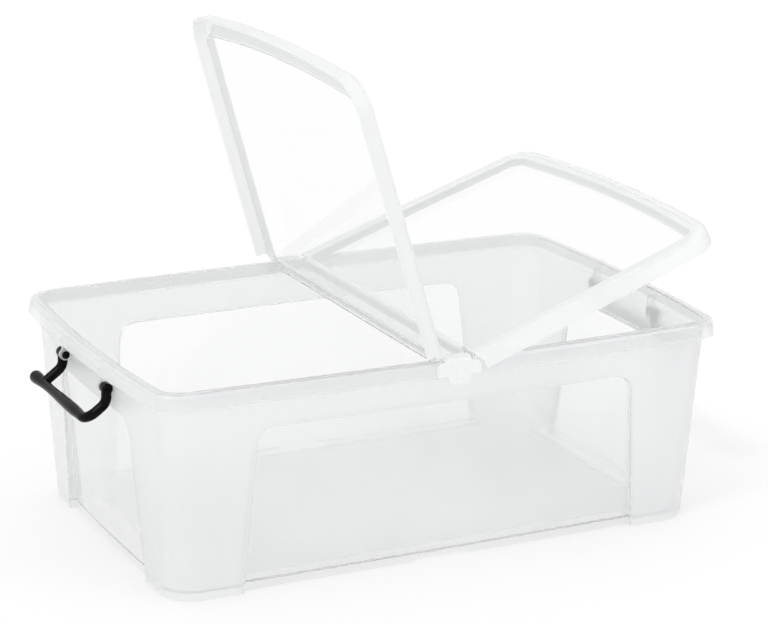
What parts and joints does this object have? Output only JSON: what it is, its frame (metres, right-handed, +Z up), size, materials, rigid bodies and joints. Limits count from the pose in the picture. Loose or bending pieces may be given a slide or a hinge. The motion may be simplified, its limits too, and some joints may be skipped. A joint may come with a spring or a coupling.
{
  "type": "file box",
  "caption": "Long clear storage box for files, with a raised floor, recessed window panels, a lid that folds up in two flaps from a centre bar, and bail handles on both ends.",
  "frame": {"origin": "on the ground under the middle of the base", "axes": "+X along the long sides towards the right end, -Y towards the front with the catch tongue, +Z up"},
  "size_m": [0.645, 0.4067, 0.4832],
  "materials": {
    "frosted_tub": "translucent moulded polypropylene, frosted posts and rim with clear panels",
    "clear_lid": "clear moulded polypropylene with a satin border",
    "black_handle": "glossy black moulding"
  },
  "bodies": {
    "tub": {"tub": "frosted_tub"},
    "lid_bar": {"lid_centre_bar": "clear_lid"},
    "left_flap": {"left_lid_flap": "clear_lid"},
    "right_flap": {"right_lid_flap": "clear_lid"},
    "left_handle": {"left_handle": "black_handle"},
    "right_handle": {"right_handle": "black_handle"}
  },
  "joints": [
    {"name": "lid_lift", "type": "slide", "parent": "tub", "child": "lid_bar", "axis": [0, 0, 1], "range_m": [0, 0.06]},
    {"name": "left_flap_fold", "type": "hinge", "parent": "lid_bar", "child": "left_flap", "pos_m": [-0.016, 0, 0.2085], "axis": [0, 1, 0], "range_deg": [-73.9, 18.1]},
    {"name": "right_flap_fold", "type": "hinge", "parent": "lid_bar", "child": "right_flap", "pos_m": [0.016, 0, 0.2085], "axis": [0, -1, 0], "range_deg": [-19.4, 72.6]},
    {"name": "left_handle_swing", "type": "hinge", "parent": "tub", "child": "left_handle", "pos_m": [-0.2959, 0, 0.179], "axis": [0, 1, 0], "range_deg": [0, 105]},
    {"name": "right_handle_swing", "type": "hinge", "parent": "tub", "child": "right_handle", "pos_m": [0.2959, 0, 0.179], "axis": [0, -1, 0], "range_deg": [0, 105]}
  ]
}
